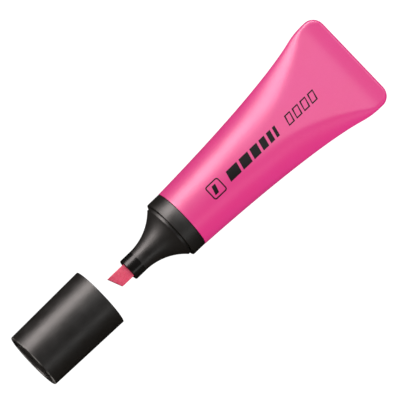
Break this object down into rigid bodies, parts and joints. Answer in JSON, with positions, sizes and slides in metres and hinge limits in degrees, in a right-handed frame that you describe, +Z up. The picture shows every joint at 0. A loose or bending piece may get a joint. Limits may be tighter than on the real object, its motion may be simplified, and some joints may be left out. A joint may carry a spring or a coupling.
{
  "type": "highlighter pen",
  "caption": "Chisel-nib highlighter with a soft tube-shaped body, flattened sealed tail, flared nose and a pull-off round cap.",
  "frame": {"origin": "below the middle of the whole object with its cap drawn off, level with its lowest point", "axes": "+X along the pen's axis from the cap's closed end towards the flat tail, +Y along the tail's width, +Z up out of the tail's flat side"},
  "size_m": [0.1454, 0.0372, 0.0221],
  "materials": {
    "soft_tube": "fluorescent pink soft moulded plastic with a satin sheen",
    "satin_black": "black moulded plastic, satin",
    "nib_fibre": "bonded fibre soaked with pink ink",
    "natural_plastic": "uncoloured milky moulded plastic",
    "cap_insert": "black moulded plastic, smooth sealing bore",
    "ink_fibre": "polyester fibre bundle soaked with pink ink",
    "clear_film": "clear wrapping film"
  },
  "bodies": {
    "pen": {"tube_shell": "soft_tube", "collar_ring": "satin_black", "nose_cone": "satin_black", "nib": "nib_fibre", "inner_barrel": "natural_plastic", "reservoir_core": "ink_fibre", "reservoir_film": "clear_film", "breather_tube": "natural_plastic"},
    "cap": {"cap_shell": "satin_black", "cap_seal_cup": "cap_insert", "cap_end_disc": "satin_black"}
  },
  "joints": [
    {"name": "cap_slide", "type": "slide", "parent": "pen", "child": "cap", "axis": [1, 0, 0], "range_m": [0, 0.0315]}
  ]
}
